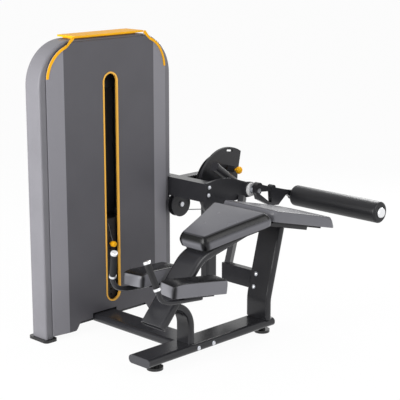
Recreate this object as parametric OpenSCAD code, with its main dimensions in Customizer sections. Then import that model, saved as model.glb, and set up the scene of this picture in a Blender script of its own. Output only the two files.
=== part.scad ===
// Lying (prone) leg curl with a shrouded weight tower beside a cranked bench.
// Working axes: X runs along the bench from head to feet, -Y points away from the tower,
// Z is up, the floor is Z = 0 and the tower's front panel is Y = 0 before placing.

/* [Tower] */
// Width over the tower's outer hoop
tower_w = 868; // [780:2:960]
// Height of the hoop over the floor
tower_h = 1500; // [1400:2:1600]
// Depth of the hoop's tube
hoop_d = 112; // [100:1:118]
// Thickness of the hoop's tube, seen from the front
hoop_t = 48; // [40:1:54]
// Outer radius of the hoop's top corners
hoop_r = 220; // [160:2:260]
// Depth over the front and rear covers
covers_d = 152; // [148:1:166]
// Half width of the front cover's flat panel
panel_half = 297; // [270:1:310]
// Width of the slot over its trim
slot_w = 98; // [90:1:110]
// Bottom of the slot over its trim
slot_low = 127; // [115:1:160]
// Top of the slot over its trim
slot_high = 1325; // [1200:1:1340]

/* [Weight stack] */
// Weight plates that stay below the selector pin
plates_below = 11; // [8:1:12]
// Weight plates above the pin, lifted with the top plate
plates_above = 4; // [2:1:4]
// Pitch of the plates
plate_pitch = 27.5; // [26:0.5:29]
// Distance of each guide rod from the middle
rod_x = 95; // [80:1:110]

/* [Bench frame] */
// Distance of the bench's middle plane from the tower's front panel
bench_out = 630; // [600:1:660]
// Slope of the chest pad, rising towards the hip
chest_slope = 13.25; // [10:0.25:16]
// Slope of the thigh pad, falling towards the knees
thigh_slope = 14; // [11:0.25:17]
// Slope of the neck tube under the head end
neck_slope = 48; // [44:0.5:52]
// Width of the bench tubes across the bench
tube_w = 150; // [130:1:156]

/* [Lever] */
// Height of the knee pivot
pivot_z = 647; // [630:1:660]
// Distance of the knee pivot from the tower's middle
pivot_x = 749; // [740:1:760]
// Roller axis, forward of the pivot
roller_dx = 291; // [280:1:320]
// Roller axis, below the pivot
roller_drop = 69; // [50:1:90]
// Diameter of the ankle roller
roller_dia = 114; // [100:1:120]
// Length of the ankle roller
roller_l = 580; // [500:5:600]
// Radius of the cable cam
cam_r = 150; // [140:1:160]

/* [Hidden] */
$fn = 64;
eps = 0.05;
fit = 0.05;
clear = 0.4;
wall = 3;
// Length by which a straight laps over a bend, and how much thinner the bend's wall is drawn
lap = 1;
bend_thin = 0.2;

// Colours
panel_grey = "#57565b";
hoop_grey = "#98979b";
frame_grey = "#3a3a3d";
pad_grey = "#6b6b6f";
trim_yellow = "#f2a52a";
knob_yellow = "#ffb400";
steel = "#c9cbd0";
black = "#1b1b1d";

// Tower
foot_h = 14;
foot_over = 15;
tower_y = covers_d / 2;
hoop_x = tower_w / 2 - hoop_t / 2;
post_in = tower_w / 2 - hoop_t;
hoop_bend = hoop_r - hoop_t / 2;
hoop_edge = 10;
hoop_front = tower_y - hoop_d / 2;
cover_t = 3;
cover_deep = hoop_front - cover_t - 3;
cover_half = post_in + 8;
cover_low = 24;
cover_mid_low = 66;
cover_mid_half = 238;
cover_step = 20;
cover_top = tower_h - 12;
cover_r = 178;
cap_half = 228;
cap_rise = 8;
cap_t = 9;
cap_r = 6;
trim_t = 2.5;
trim_w = 13;
trim_x = cap_half + 44;
slot_ring = 8;
sill_half = covers_d / 2 - cover_deep - cover_t;
sill_low = 48;
sill_top = 90;
beam_low = 1236;
beam_top = 1276;

// Weight stack
plate_gap = 0.5;
plate_w = 280;
plate_d = 110;
stack_z = sill_top + 28;
split_z = stack_z + plates_below * plate_pitch;
head_z = split_z + plates_above * plate_pitch;
head_t = 34;
rod_r = 10;
stem_r = 12;
pin_r = 5;
pin_z = split_z + plate_pitch / 2;
stem_top = head_z + head_t + 46;
stack_front = tower_y - plate_d / 2;

// Cables and pulleys
cable_r = 2.5;
cable_hole_r = 8;
sheave_r = 45;
side_r = 38;
guide_r = 34;
sheave_w = 16;
left_c = [sheave_r, beam_top + 58];
right_c = [255, left_c[1]];
drop_x = right_c[0] + sheave_r;
side_c = [drop_x + side_r, 730];
cable_y = -22;
guide_c = [457, 575];

// Base
base_low = 43;
base_top = 85;
base_w = 142;
base_r = 20;
front_left = -397;
front_right = 470;
cross_x = -62;
cross_w = 150;
bench_y = -bench_out;

// Bench: chest pad top line starts at the head, the thigh pad's at the hip
chest_head = [-52, 608];
chest_l = 340;
chest_t = 72;
board_t = 12;
tube_t = 45;
tube_r = 20;
thigh_hip = [345, 687];
thigh_l = 440;
thigh_t = 56;
thigh_board_t = 8;
rail_t = 26;
rail_w = 120;
rail_l = 462;
rail_x = 330;
neck_under = (chest_t + board_t + tube_t / 2) / cos(chest_slope);
neck_corner = [chest_head[0], chest_head[1] - neck_under];
neck_bend = 160;
neck_turn = neck_slope - chest_slope;
neck_cut = neck_bend * tan(neck_turn / 2);
neck_l = 384;
tube_end_x = 285;
post_x = 429.5;
post_t = 35;
post_r = 16;
post_lean = 14.8;
post_bend = 200;
post_bend_z = 165;
arch_x = -97;
arch_t = 34;
arch_w = 100;
arch_bend = 123;
arch_bend_z = 170;

// Elbow pads: the far one mirrors the near one about the bench's middle plane
elbow_head = [-330, 116, 458];
elbow_splay = 9.5;
elbow_tilt = 5.5;
elbow_l = 312;
elbow_w = 132;
elbow_t = 68;
bar_r = 12;
grip_low = [-424, 150, 452];
grip_high = [-447, 111, 573];
bracket_t = 6;
bar_gap = 1;
function bar_z(x) = elbow_head[2] - (x - elbow_head[0]) * tan(elbow_tilt)
    - (elbow_t + bracket_t) / cos(elbow_tilt) - bar_r - bar_gap;
grip_way = (grip_high - grip_low) / norm(grip_high - grip_low);
bar_route = [
    [-150, 158, bar_z(-150)], [-250, 157, bar_z(-250)], [-345, 157, bar_z(-345)], [-390, 157, 388],
    [-411, 157, 409], grip_low - 22 * grip_way, grip_low, (grip_low + grip_high) / 2, grip_high
];

// Pivot frame
out_x0 = 412;
out_x1 = 476;
out_wall = 4;
out_low = 625;
out_top = 725;
plate_y = -260;
plate_t = 16;
rear_y = 40;
rear_d = 60;
rear_w = 76;
shaft_r = 20;
boss_r = 30;
flange_r = 36;
plate_end_r = 40;
bridge_h = 70;

// Lever
disc_r = 205;
disc_y = -88;
disc_t = 16;
hub_r = 44;
pin_ring = 89;
pin_angle = 81;
pin_step = 15;
pull_travel = 14;
weight_angle = 144;
weight_y = -190;
weight_l = 240;
arm_y = -322;
arm_t = 24;
stub_r = 13;
roller_x = pivot_x + roller_dx;
roller_z = pivot_z - roller_drop;
roller_far = arm_y - arm_t;
roller_near = roller_far - roller_l;
axle_r = 14;
end_cap_t = 12;

// Middle of the machine's floor outline, where the part's origin goes
collar_r = 17.5;
collar_over = 4.2;
grip_reach = collar_r * sqrt(1 - grip_way[0] * grip_way[0]) - collar_over * grip_way[0];
centre_x = (roller_x + roller_dia / 2 + grip_high[0] - grip_reach) / 2;
centre_y = (covers_d + roller_near - end_cap_t) / 2;

module placed() {
    translate([-centre_x, -centre_y, 0]) children();
}

// Rounded rectangle, w across and h high
module rounded2d(w, h, r) {
    square([w - 2 * r, h], center = true);
    square([w, h - 2 * r], center = true);
    for (sx = [-1, 1], sy = [-1, 1])
        translate([sx * (w / 2 - r), sy * (h / 2 - r)]) circle(r);
}

// Hollow section of a rounded tube, its wall drawn in by thin on both faces
module tube2d(w, h, r, thin = 0) {
    difference() {
        rounded2d(w - 2 * thin, h - 2 * thin, r - thin);
        rounded2d(w - 2 * (wall - thin), h - 2 * (wall - thin), r - wall + thin);
    }
}

// Straight bar in the bench plane from p at angle a; the section's x lies across the bench
module xz_bar(p, a, l) {
    translate([p[0], bench_y, p[1]]) rotate([0, -a, 0]) rotate([90, 0, 90])
        linear_extrude(l) children();
}

// Bend in the bench plane about c from angle a0 to a1
module xz_bend(c, r, a0, a1) {
    translate([c[0], bench_y, c[1]]) rotate([90, 0, 0]) rotate([0, 0, a0])
        rotate_extrude(angle = a1 - a0) translate([r, 0]) rotate(90) children();
}

// Cylinder along Y from y0 to y1 at the point p of the X-Z plane
module y_rod(p, r, y0, y1) {
    translate([p[0], y1, p[1]]) rotate([90, 0, 0]) cylinder(h = y1 - y0, r = r);
}

// Plate along Y from y0 to y1 with an outline drawn in X and Z
module y_plate(y0, y1) {
    translate([0, y1, 0]) rotate([90, 0, 0]) linear_extrude(y1 - y0) children();
}

// Tower shell

module hoop_section() {
    tube2d(hoop_t, hoop_d, hoop_edge);
}

module tower_hoop() {
    color(hoop_grey) {
        for (s = [0, 1]) mirror([s, 0, 0]) {
            difference() {
                translate([hoop_x, tower_y, foot_h])
                    linear_extrude(tower_h - hoop_r - foot_h) hoop_section();
                if (s == 0) translate([post_in - 1, tower_y, side_c[1] - side_r])
                    rotate([0, 90, 0]) cylinder(h = hoop_t + 2, r = cable_hole_r);
            }
            translate([hoop_x - hoop_bend, tower_y, tower_h - hoop_r]) rotate([90, 0, 0])
                rotate_extrude(angle = 90) translate([hoop_bend, 0]) hoop_section();
        }
        translate([hoop_bend - hoop_x, tower_y, tower_h - hoop_t / 2]) rotate([0, 90, 0])
            linear_extrude(2 * (hoop_x - hoop_bend)) hoop_section();
    }
}

module hoop_feet() {
    color(black) for (s = [-1, 1])
        translate([s * hoop_x, tower_y, 0]) linear_extrude(foot_h)
            rounded2d(hoop_t + 2 * foot_over, hoop_d + 34, 20);
}

// Front outline of a cover with round top corners, drawn in by inset
module cover2d(inset = 0) {
    half = cover_half - inset;
    top = cover_top - inset;
    r = cover_r - inset;
    translate([-half, cover_low]) square([2 * half, top - r - cover_low]);
    translate([r - half, cover_low]) square([2 * (half - r), top - cover_low]);
    for (s = [-1, 1]) translate([s * (half - r), top - r]) circle(r);
}

// Folded sheet seen from above: flat panel with side bevels, from y0 to y1 off its face
module folded_sheet(y0, y1) {
    linear_extrude(tower_h + 50) polygon([
        [-cover_half, cover_deep + y0], [-panel_half, y0], [panel_half, y0],
        [cover_half, cover_deep + y0], [cover_half, cover_deep + y1], [panel_half, y1],
        [-panel_half, y1], [-cover_half, cover_deep + y1]
    ]);
}

// Soft step in a cover's lower edge, t from 0 at the low outer part to 1 at the raised middle
function step_x(t) = cover_mid_half + cover_step * (1 - 2 * t);
function step_z(t) = cover_low - eps + (cover_mid_low - cover_low) * (1 - cos(180 * t)) / 2;

module cover_shell() {
    flange_half = cover_half - cover_r;
    difference() {
        intersection() {
            folded_sheet(0, cover_t);
            y_plate(-10, 100) cover2d();
        }
        y_plate(-1, cover_t + 1) polygon(concat(
            [[-cover_mid_half - cover_step, 0]],
            [for (t = [0 : 0.125 : 1]) [-step_x(t), step_z(t)]],
            [for (t = [1 : -0.125 : 0]) [step_x(t), step_z(t)]],
            [[cover_mid_half + cover_step, 0]]
        ));
    }
    translate([-flange_half, cover_t - eps, cover_top - cover_t])
        cube([2 * flange_half, cover_deep - cover_t, cover_t]);
}

// Upright stadium of the slot, drawn w wide
module slot2d(w) {
    lift = slot_w / 2;
    translate([-w / 2, slot_low + lift]) square([w, slot_high - slot_low - 2 * lift]);
    for (z = [slot_low + lift, slot_high - lift]) translate([0, z]) circle(w / 2);
}

module front_cover() {
    color(panel_grey) difference() {
        cover_shell();
        y_plate(-1, cover_t + 1) slot2d(slot_w - 2 * slot_ring + 8);
        translate([cross_x - cross_w / 2 - 6, -1, 0]) cube([cross_w + 12, cover_t + 2, base_top + 6]);
    }
}

module rear_cover() {
    color(panel_grey) translate([0, covers_d, 0]) mirror([0, 1, 0]) cover_shell();
}

module slot_trim() {
    color(trim_yellow) {
        y_plate(-2.5, 0) difference() {
            slot2d(slot_w);
            slot2d(slot_w - 2 * slot_ring);
        }
        y_plate(0, 10) difference() {
            slot2d(slot_w - 2 * slot_ring + 8 - 2 * eps);
            slot2d(slot_w - 2 * slot_ring);
        }
    }
}

// Yellow cap, raised off the hoop and standing out over the front cover
module top_cap() {
    front = -3;
    back = tower_y + hoop_d / 2;
    color(knob_yellow) {
        translate([0, tower_y, tower_h]) linear_extrude(cap_rise + 1)
            rounded2d(2 * (hoop_x - hoop_bend - 8), hoop_d - 28, cap_r);
        translate([0, (front + back) / 2, tower_h + cap_rise]) linear_extrude(cap_t)
            rounded2d(2 * cap_half, back - front, cap_r);
    }
}

// Trim lines from the cap's ends down to the cover's corners and round them
module corner_trims() {
    color(knob_yellow) for (s = [0, 1]) mirror([s, 0, 0]) intersection() {
        folded_sheet(-trim_t, -eps);
        y_plate(-10, 100) {
            difference() {
                cover2d();
                cover2d(trim_w);
                translate([-cover_half, 0]) square([cover_half + trim_x, 2 * tower_h]);
                translate([-cover_half, 0]) square([2 * cover_half + 2, cover_top - cover_r + 11]);
            }
            polygon([
                [trim_x + 1, cover_top - 22], [trim_x + 1, cover_top - 9.6],
                [cap_half + 14, cover_top + 27], [cap_half + 1, cover_top + 27],
                [cap_half + 1, cover_top + 14]
            ]);
        }
    }
}

// Inner frame of the tower

module base_sill() {
    color(frame_grey) translate([-post_in, tower_y - sill_half, sill_low])
        cube([2 * post_in, 2 * sill_half, sill_top - sill_low]);
}

module top_beam() {
    color(frame_grey) difference() {
        translate([-post_in, tower_y - 20, beam_low]) cube([2 * post_in, 40, beam_top - beam_low]);
        for (x = [0, drop_x]) translate([x, tower_y, beam_low - 1])
            cylinder(h = beam_top - beam_low + 2, r = cable_hole_r);
    }
}

module guide_rods() {
    color(steel) for (s = [-1, 1]) translate([s * rod_x, tower_y, sill_top])
        cylinder(h = beam_low - sill_top, r = rod_r);
}

module stack_bumpers() {
    color(black) for (s = [-1, 1]) translate([s * rod_x, tower_y, sill_top]) difference() {
        cylinder(h = stack_z - sill_top, r = 24);
        translate([0, 0, -1]) cylinder(h = stack_z - sill_top + 2, r = rod_r + fit);
    }
}

// One weight plate with its rod bores, stem bore and pin hole
module weight_plate(z, h, pin_hole) {
    difference() {
        translate([-plate_w / 2, stack_front, z]) cube([plate_w, plate_d, h]);
        for (x = [-rod_x, 0, rod_x]) translate([x, tower_y, z - 1]) cylinder(h = h + 2, r = stem_r + 0.6);
        if (pin_hole) y_rod([0, z + h / 2], pin_r + clear, stack_front - 1, tower_y);
    }
}

module lower_plates() {
    color(black) for (i = [0 : plates_below - 1])
        weight_plate(stack_z + i * plate_pitch, plate_pitch - plate_gap, true);
}

module upper_plates() {
    color(black) for (i = [0 : plates_above - 1])
        weight_plate(split_z + i * plate_pitch, plate_pitch - plate_gap, true);
}

// Head plate with its two guide bushes
module top_plate() {
    color(black) difference() {
        union() {
            translate([-plate_w / 2, stack_front, head_z]) cube([plate_w, plate_d, head_t]);
            for (s = [-1, 1]) translate([s * rod_x, tower_y, head_z + head_t]) cylinder(h = 30, r = 20);
        }
        for (s = [-1, 1]) translate([s * rod_x, tower_y, head_z - 1])
            cylinder(h = head_t + 40, r = rod_r + fit);
        translate([0, tower_y, head_z - 1]) cylinder(h = head_t + 2, r = stem_r + fit);
    }
}

// Drilled stem that hangs through the stack, with the cable eye on top
module selector_stem() {
    stem_low = stack_z + 4;
    color(steel) difference() {
        union() {
            translate([0, tower_y, stem_low]) cylinder(h = head_z + head_t + 20 - stem_low, r = stem_r);
            translate([0, tower_y, head_z + head_t]) cylinder(h = 14, r = 22);
            translate([0, tower_y, head_z + head_t + 20])
                cylinder(h = stem_top - head_z - head_t - 20, r = 9);
        }
        for (i = [0 : plates_below + plates_above - 1])
            y_rod([0, stack_z + (i + 0.5) * plate_pitch - plate_gap / 2], pin_r + clear,
                tower_y - 20, tower_y + 20);
    }
}

module selector_pin() {
    z = pin_z - plate_gap / 2;
    color(knob_yellow) {
        y_rod([0, z], pin_r, stack_front - 6, tower_y + 10);
        y_rod([0, z], 9, stack_front - 14, stack_front - 6);
        translate([0, stack_front - 14, z]) rotate([90, 0, 0]) rotate_extrude()
            polygon([[0, 0], [10, 0], [15, 5], [15, 20], [11, 26], [0, 27]]);
    }
}

// Tube swept along a smooth route: Catmull-Rom points, rings turned to face along it
function spline(p, i, t) =
    let (a = p[max(i - 1, 0)], b = p[i], c = p[i + 1], d = p[min(i + 2, len(p) - 1)])
    0.5 * (2 * b + (c - a) * t + (2 * a - 5 * b + 4 * c - d) * t * t
        + (3 * b - a - 3 * c + d) * t * t * t);
function route(p, steps) = concat(
    [for (i = [0 : len(p) - 2], k = [0 : steps - 1]) spline(p, i, k / steps)], [p[len(p) - 1]]);
function unit(v) = v / norm(v);

module swept(points, r, sides, steps, side_way) {
    pts = route(points, steps);
    n = len(pts);
    rings = [for (i = [0 : n - 1])
        let (
            t = unit(pts[min(i + 1, n - 1)] - pts[max(i - 1, 0)]),
            u = unit(cross(t, side_way)),
            v = cross(t, u)
        )
        for (j = [0 : sides - 1]) pts[i] + r * (cos(360 * j / sides) * u + sin(360 * j / sides) * v)];
    skin = [for (i = [0 : n - 2], j = [0 : sides - 1])
        let (a = i * sides + j, b = i * sides + (j + 1) % sides)
        each [[a, a + sides, b], [b, a + sides, b + sides]]];
    caps = [for (j = [1 : sides - 2])
        each [[0, j, j + 1], [(n - 1) * sides, (n - 1) * sides + j + 1, (n - 1) * sides + j]]];
    polyhedron(concat(rings), concat(skin, caps));
}

// Thin cord that keeps the selector pin with the top plate
lanyard_route = [
    [-14, stack_front - 1.7, head_z + 12], [-14, stack_front - 8, head_z + 2], [-12, stack_front - 14, 505],
    [-8, stack_front - 19, 475], [-3, stack_front - 22, 455], [0, stack_front - 22, pin_z + 16]
];

module pin_lanyard() {
    color(steel) swept(lanyard_route, 1.6, 8, 5, [1, 0, 0]);
}

// Cables and pulleys in the tower plane

module cable_line(p, q, y, over = 0) {
    d = q - p;
    translate([p[0], y, p[1]]) rotate([0, 90 - atan2(d[1], d[0]), 0])
        translate([0, 0, -over]) cylinder(h = norm(d) + over, r = cable_r);
}

// Stretch of cable lying on a pulley from angle a0 to a1
module cable_wrap(c, r, a0, a1, y, thin = 0) {
    translate([c[0], y, c[1]]) rotate([90, 0, 0]) rotate([0, 0, a0])
        rotate_extrude(angle = a1 - a0) translate([r, 0]) circle(cable_r - thin, $fn = 24);
}

// Grooved pulley whose cable runs at radius r
module sheave(c, r, y) {
    groove = r - cable_r - clear;
    rim = r + 5;
    h = sheave_w / 2;
    translate([c[0], y, c[1]]) rotate([90, 0, 0]) difference() {
        rotate_extrude() polygon([
            [0, -h], [rim, -h], [rim, -h + 2], [groove, -3.2], [groove, 3.2], [rim, h - 2], [rim, h], [0, h]
        ]);
        translate([0, 0, -h - 1]) cylinder(h = sheave_w + 2, r = 8 + fit);
        for (a = [0 : 60 : 300]) rotate([0, 0, a]) translate([r * 0.56, 0, -h - 1])
            cylinder(h = sheave_w + 2, r = r * 0.14);
    }
}

module lift_cable() {
    color(steel) cable_line([0, stem_top], [0, left_c[1]], tower_y);
}

module tower_cable() {
    color(steel) {
        cable_wrap(left_c, sheave_r, 90, 180, tower_y);
        cable_line(left_c + [0, sheave_r], right_c + [0, sheave_r], tower_y);
        cable_wrap(right_c, sheave_r, 0, 90, tower_y);
        cable_line([drop_x, right_c[1]], [drop_x, side_c[1]], tower_y);
        cable_wrap(side_c, side_r, 180, 270, tower_y);
        cable_line(side_c - [0, side_r], [tower_w / 2 - wall, side_c[1] - side_r], tower_y);
    }
}

module pulley_brackets() {
    color(frame_grey) for (s = [-1, 1]) {
        y0 = tower_y + s * 12 - 2;
        for (c = [left_c, right_c]) y_plate(y0, y0 + 4) difference() {
            translate([c[0] - 18, beam_top]) square([36, c[1] - beam_top + 18]);
            translate(c) circle(8 + fit);
        }
        y_plate(y0, y0 + 4) difference() {
            translate([side_c[0] - 18, side_c[1] - 18]) square([post_in - side_c[0] + 18, 36]);
            translate(side_c) circle(8 + fit);
        }
    }
}

module pulley_axles() {
    color(steel) {
        for (c = [left_c, right_c, side_c]) {
            y_rod(c, 8, tower_y - 22, tower_y + 22);
            y_rod(c, 12, tower_y - 22, tower_y - 14);
        }
        y_rod(guide_c, 8, cable_y - 26, cable_y + 22);
        y_rod(guide_c, 13, cable_y - 26, cable_y - 18);
    }
}

module top_pulley_left() {
    color(black) sheave(left_c, sheave_r, tower_y);
}

module top_pulley_right() {
    color(black) sheave(right_c, sheave_r, tower_y);
}

module side_pulley() {
    color(black) sheave(side_c, side_r, tower_y);
}

module guide_pulley() {
    color(black) sheave(guide_c, guide_r, cable_y);
}

// Base

module base_section() {
    tube2d(base_w, base_top - base_low, base_r);
}

module front_beam_body() {
    translate([front_left, bench_y, (base_low + base_top) / 2]) rotate([90, 0, 90])
        linear_extrude(front_right - front_left) rounded2d(base_w, base_top - base_low, base_r);
}

module front_beam() {
    color(frame_grey) translate([front_left, bench_y, (base_low + base_top) / 2]) rotate([90, 0, 90])
        linear_extrude(front_right - front_left) base_section();
}

module cross_beam() {
    color(frame_grey) difference() {
        translate([cross_x, tower_y - sill_half, (base_low + base_top) / 2]) rotate([90, 0, 0])
            linear_extrude(tower_y - sill_half - bench_y - base_w / 2 + base_r)
                tube2d(cross_w, base_top - base_low, base_r);
        front_beam_body();
    }
}

// Plastic plugs in the beam's open ends
module beam_caps() {
    cap = 5;
    color(black) for (x = [front_left - cap, front_right])
        translate([x, bench_y, (base_low + base_top) / 2]) rotate([90, 0, 90])
            linear_extrude(cap) rounded2d(base_w, base_top - base_low, base_r);
}

module beam_feet() {
    color(black) {
        for (x = [-300, 455]) translate([x, bench_y, 0]) {
            cylinder(h = foot_h, r = 40);
            cylinder(h = base_low, r = 18);
        }
        translate([pivot_x, rear_y, 0]) linear_extrude(foot_h) rounded2d(rear_w + 44, rear_d + 50, 12);
    }
}

// Dome-headed bolt on a face that looks along -Y
module bolt(p, y) {
    translate([p[0], y, p[1]]) rotate([90, 0, 0]) {
        cylinder(h = 1.5, r = 11);
        rotate_extrude() polygon([[0, 1.5], [8.5, 1.5], [8.5, 4], [6.5, 7], [3, 8], [0, 8]]);
    }
}

module frame_bolts() {
    color(steel) {
        for (x = [cross_x - 15, cross_x + 87]) bolt([x, (base_low + base_top) / 2], bench_y - base_w / 2);
        for (p = [[430, 706], [424, 666]]) bolt(p, plate_y - plate_t);
        for (z = [20, 86]) translate([post_top[0], bench_y + 32, post_top[1]]) rotate([0, post_lean, 0])
            rotate([0, 0, -90]) bolt([0, z], -post_t / 2);
    }
}

// Bench frame: cranked tubes in the bench's middle plane

// Neck tube with its bend; children give the straights' and the bend's sections
module neck_path() {
    corner = neck_corner;
    low = [cos(neck_slope), sin(neck_slope)];
    high = [cos(chest_slope), sin(chest_slope)];
    start = corner - neck_l * low;
    bend_start = corner - neck_cut * low;
    bend_c = bend_start + neck_bend * [low[1], -low[0]];
    rise = (tube_end_x - corner[0]) / high[0] + 20;
    difference() {
        union() {
            xz_bar(start, neck_slope, neck_l - neck_cut + lap) children(0);
            xz_bend(bend_c, neck_bend, 90 + chest_slope, 90 + neck_slope) children(1);
            xz_bar(corner + (neck_cut - lap) * high, chest_slope, rise - neck_cut) children(0);
        }
        translate([tube_end_x, bench_y - 200, 400]) cube([200, 400, 400]);
    }
}

module bench_tube() {
    color(frame_grey) neck_path() {
        tube2d(tube_w, tube_t, tube_r);
        tube2d(tube_w, tube_t, tube_r, bend_thin);
    }
}

// Neck tube filled solid, to cut what is welded against it
module neck_body() {
    neck_path() {
        rounded2d(tube_w, tube_t, tube_r);
        rounded2d(tube_w, tube_t, tube_r);
    }
}

module front_arch() {
    bend_c = [arch_x - arch_bend, arch_bend_z];
    color(frame_grey) difference() {
        union() {
            xz_bar([arch_x, base_top], 90, arch_bend_z - base_top) tube2d(arch_w, arch_t, 14);
            xz_bend(bend_c, arch_bend, 0, 90) tube2d(arch_w, arch_t, 14);
        }
        neck_body();
    }
}

// Underside of the thigh board at x
function thigh_under(x) = thigh_hip[1] - (x - thigh_hip[0]) * tan(thigh_slope)
    - (thigh_t + thigh_board_t) / cos(thigh_slope);

post_top = [post_x + post_bend * (1 - cos(post_lean)), post_bend_z + post_bend * sin(post_lean)];

// Post with its bend, cut off under the rail; children give the straights' and the bend's sections
module post_path() {
    lean = [sin(post_lean), cos(post_lean)];
    difference() {
        union() {
            xz_bar([post_x, base_top], 90, post_bend_z - base_top + lap) children(0);
            xz_bend([post_x + post_bend, post_bend_z], post_bend, 180 - post_lean, 180) children(1);
            xz_bar(post_top - lap * lean, 90 - post_lean, 420) children(0);
        }
        translate([tube_end_x, bench_y - 200, thigh_under(tube_end_x) - rail_t / cos(thigh_slope)])
            rotate([0, thigh_slope, 0]) cube([600, 400, 300]);
    }
}

module right_post() {
    color(frame_grey) post_path() {
        tube2d(tube_w, post_t, post_r);
        tube2d(tube_w, post_t, post_r, bend_thin);
    }
}

// Straight bar of w by h section from p to q
module bar_between(p, q, w, h) {
    d = q - p;
    turn = atan2(d[1], d[0]);
    rise = atan2(d[2], norm([d[0], d[1]]));
    translate(p) rotate([0, 0, turn]) rotate([0, -rise, 0])
        translate([0, -w / 2, -h / 2]) cube([norm(d), w, h]);
}

// Flat tube from the right post towards the tower, with a strut up to the pivot plate
module side_brace() {
    y1 = -384;
    post_back = bench_y + tube_w / 2;
    color(frame_grey) difference() {
        union() {
            translate([444, post_back - 20, 220]) cube([36, y1 - post_back + 50, 96]);
            bar_between([462, y1 + 10, 270], [672, plate_y - plate_t - 12, 620], 30, 48);
        }
        translate([400, plate_y - plate_t, 400]) cube([400, 100, 400]);
        translate([400, bench_y, 200]) cube([44, 400, 500]);
        post_path() {
            rounded2d(tube_w, post_t, post_r);
            rounded2d(tube_w, post_t, post_r);
        }
    }
}

// Flat bar under the thigh pad, with the tongue that joins it to the bench tube's end
module pad_rail() {
    tongue_low = 560;
    tongue_top = 598;
    tongue_end_x = rail_x + 34;
    color(frame_grey) union() {
        difference() {
            translate([tube_end_x, bench_y - rail_w / 2, thigh_under(tube_end_x)])
                rotate([0, thigh_slope, 0]) translate([0, 0, -rail_t])
                    cube([rail_l, rail_w, rail_t]);
            translate([tube_end_x - 100, bench_y - rail_w, 500])
                cube([rail_x - tube_end_x + 100, 2 * rail_w, 300]);
        }
        translate([tube_end_x, bench_y - rail_w / 2 + 3, tongue_low])
            cube([tongue_end_x - tube_end_x, rail_w - 6, tongue_top - tongue_low]);
    }
}

// Plywood boards under the pads
module pad_boards() {
    color(black) {
        translate([chest_head[0], bench_y, chest_head[1]]) rotate([0, -chest_slope, 0])
            translate([0, 0, -chest_t - board_t + clear]) linear_extrude(board_t - clear)
                polygon([[6, -64], [chest_l - 6, -164], [chest_l - 6, 164], [6, 64]]);
        translate([thigh_hip[0], bench_y, thigh_hip[1]]) rotate([0, thigh_slope, 0])
            translate([14, -164, -thigh_t - thigh_board_t]) cube([thigh_l - 60, 328, thigh_board_t]);
    }
}

// Upholstered pads

function mix(a, b, t) = a + (b - a) * t;
function bend_sign(v, p) = sign(v) * pow(abs(v), p);

// Closed cushion from x = 0 to l with its sewn top edge at z = 0. Each ring is a squared
// oval: crowned on top, drawn in along the seam and bulging below it. Half widths run
// from w0 to w1 with the sides pulled in between; e0 and e1 round the two ends, and nose
// carries the lower edge of the far end further out.
module cushion(l, w0, w1, t, crown, bulge, pull, e0, e1, nose, around, along) {
    seam = 3;
    rings = [for (i = [0 : along - 1])
        let (
            s = (1 - cos(180 * i / (along - 1))) / 2,
            x = s * l,
            d0 = min(1, x / e0),
            d1 = min(1, (l - x) / e1),
            k = 0.55 + 0.45 * sqrt(max(0, 1 - pow(1 - min(d0, d1), 2))),
            w = (mix(w0, w1, s) - pull * sin(180 * s)) * mix(1, k, 0.5)
        )
        for (j = [0 : around - 1])
            let (
                a = 360 * (j + 0.5) / around,
                y = bend_sign(cos(a), 0.38),
                z = bend_sign(sin(a), 0.38),
                near_seam = exp(-pow((abs(y) - 0.9) / 0.06, 2)) * exp(-pow((z - 0.9) / 0.12, 2)),
                out = bulge * max(0, 1 - pow(z + 0.1, 2)) * y - seam * near_seam * y,
                up = z > 0 ? crown * (1 - y * y) * sin(180 * s) - seam * near_seam : 0
            )
            [x + nose * (1 - d1) * (1 - z) / 2, w * y + out * k, -t / 2 + k * z * t / 2 + up]];
    n = along * around;
    ends = [[0, 0, -t / 2], [l + nose / 2, 0, -t / 2]];
    skin = [for (i = [0 : along - 2], j = [0 : around - 1])
        let (a = i * around + j, b = i * around + (j + 1) % around)
        each [[a, b, a + around], [b, b + around, a + around]]];
    caps = [for (j = [0 : around - 1])
        let (b = (j + 1) % around, last = (along - 1) * around)
        each [[n, b, j], [n + 1, last + j, last + b]]];
    polyhedron(concat(rings, ends), concat(skin, caps));
}

module chest_pad() {
    head_over = 15;
    hip_over = 22;
    head_half = 88;
    hip_half = 186;
    color(pad_grey) translate([chest_head[0], bench_y, chest_head[1]]) rotate([0, -chest_slope, 0])
        translate([-head_over, 0, -clear])
            cushion(chest_l + head_over + hip_over, head_half, hip_half, chest_t - 2 * clear,
                5, 12, 5, 30, 40, 0, 40, 28);
}

module thigh_pad() {
    color(pad_grey) translate([thigh_hip[0], bench_y, thigh_hip[1]]) rotate([0, thigh_slope, 0])
        translate([0, 0, -clear])
            cushion(thigh_l + 20, 180, 180, thigh_t - 2 * clear, 5, 4, 4, 24, 60, 44, 40, 28);
}

// Puts its children in the elbow pad's own frame: x towards the elbow, z = 0 on top
module at_elbow(side) {
    translate([elbow_head[0], bench_y - side * elbow_head[1], elbow_head[2]])
        rotate([0, 0, -side * elbow_splay]) rotate([0, elbow_tilt, 0]) children();
}

module elbow_pad(side) {
    color(pad_grey) at_elbow(side)
        cushion(elbow_l, elbow_w / 2 - 4, elbow_w / 2 - 4, elbow_t - clear, 4, 4, 2, 30, 14, 0, 32, 20);
}

module near_elbow_pad() {
    elbow_pad(1);
}

module far_elbow_pad() {
    elbow_pad(-1);
}

// Plates under the elbow pads, welded to the sides of the neck tube
module elbow_brackets() {
    color(frame_grey) for (side = [-1, 1]) difference() {
        at_elbow(side) translate([70, side > 0 ? -50 : -110, -elbow_t - bracket_t])
            cube([170, 160, bracket_t]);
        neck_body();
        translate([-400, bench_y - tube_w / 2, 200]) cube([800, tube_w, 400]);
    }
}

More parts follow.
